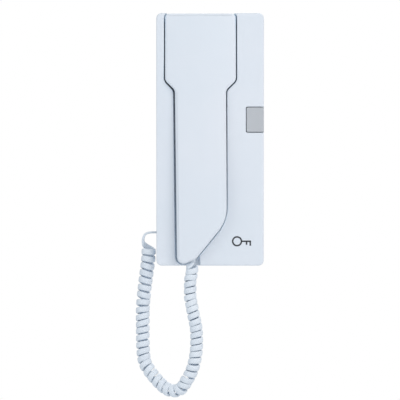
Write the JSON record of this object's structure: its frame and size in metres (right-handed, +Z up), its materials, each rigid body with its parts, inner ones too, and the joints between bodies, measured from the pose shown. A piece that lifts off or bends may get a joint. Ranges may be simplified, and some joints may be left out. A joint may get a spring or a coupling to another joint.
{
  "type": "slimline wall phone",
  "caption": "Flat wall telephone: slim base with a recessed handset, a door button on its edge and a hanging curly cord.",
  "frame": {"origin": "middle of the wall plate's back face, on the wall", "axes": "+Z up, +X to the right seen from the front, +Y into the wall, the front faces -Y"},
  "size_m": [0.11, 0.0414, 0.3292],
  "materials": {
    "white_plastic": "fine satin moulded plastic",
    "plate_plastic": "plain moulded plastic",
    "grey_plastic": "satin grey moulded plastic",
    "black_plastic": "dull black plastic",
    "red_plastic": "dull red plastic",
    "steel": "zinc plated",
    "board": "green lacquered glass fibre board",
    "terminal_plastic": "blue moulded plastic",
    "brass": "plain",
    "transformer_core": "varnished laminations",
    "capacitor_sleeve": "shrunk plastic sleeve",
    "resistor_body": "tan lacquer",
    "clear_plastic": "clear plastic",
    "dark_rubber": "dull rubber",
    "white_rubber": "dull white rubber",
    "cord_sheath": "smooth white sheath",
    "red_wire": "thin insulation",
    "white_wire": "thin insulation",
    "capsule_can": "pressed can",
    "weight_iron": "plain bar"
  },
  "bodies": {
    "base": {"wall_plate": "plate_plastic", "front_cover": "white_plastic", "cover_screw": "steel", "circuit_board": "board", "board_screws": "steel", "terminal_block": "terminal_plastic", "terminal_screws": "steel", "call_buzzer": "black_plastic", "buzzer_disc": "brass", "speech_transformer": "transformer_core", "capacitors": "capacitor_sleeve", "resistors": "resistor_body", "speech_chip": "black_plastic", "hook_switch": "black_plastic", "lever_bracket": "steel", "lever_pin": "steel", "lever_spring": "steel", "button_switch": "black_plastic", "cord_socket": "black_plastic", "cord_plug": "clear_plastic", "cord_base_lead": "cord_sheath", "cord_coil": "cord_sheath", "cord_handset_lead": "cord_sheath"},
    "handset": {"handset_front_shell": "white_plastic", "handset_back_shell": "white_plastic", "handset_screws": "steel", "earpiece_capsule": "black_plastic", "earpiece_gasket": "dark_rubber", "microphone_capsule": "capsule_can", "microphone_boot": "dark_rubber", "balance_weight": "weight_iron", "receiver_leads": "red_wire", "microphone_leads": "white_wire", "handset_grommet": "white_rubber"},
    "hook_lever": {"hook_lever": "white_plastic"},
    "hook_switch_stem": {"hook_switch_stem": "red_plastic"},
    "door_button": {"door_button": "grey_plastic"},
    "button_switch_stem": {"button_switch_stem": "red_plastic"}
  },
  "joints": [
    {"name": "handset_lift", "type": "slide", "parent": "base", "child": "handset", "axis": [0, -1, 0], "range_m": [0, 0.045]},
    {"name": "hook_lever_turn", "type": "hinge", "parent": "base", "child": "hook_lever", "pos_m": [-0.00825, -0.015, 0], "axis": [-1, 0, 0], "range_deg": [0, 7]},
    {"name": "hook_stem_rise", "type": "slide", "parent": "base", "child": "hook_switch_stem", "axis": [0, -1, 0], "range_m": [0, 0.001]},
    {"name": "door_button_press", "type": "slide", "parent": "base", "child": "door_button", "axis": [0, 1, 0], "range_m": [0, 0.0015], "stiffness_N_per_m": 400, "springref_m": -0.0015},
    {"name": "button_stem_press", "type": "slide", "parent": "base", "child": "button_switch_stem", "axis": [0, 1, 0], "range_m": [0, 0.0015]}
  ],
  "couplings": [
    {"joint": "hook_lever_turn", "follows": "handset_lift", "rad_per_m": 2.7},
    {"joint": "hook_stem_rise", "follows": "handset_lift", "ratio": 0.0222},
    {"joint": "button_stem_press", "follows": "door_button_press", "ratio": 1}
  ]
}
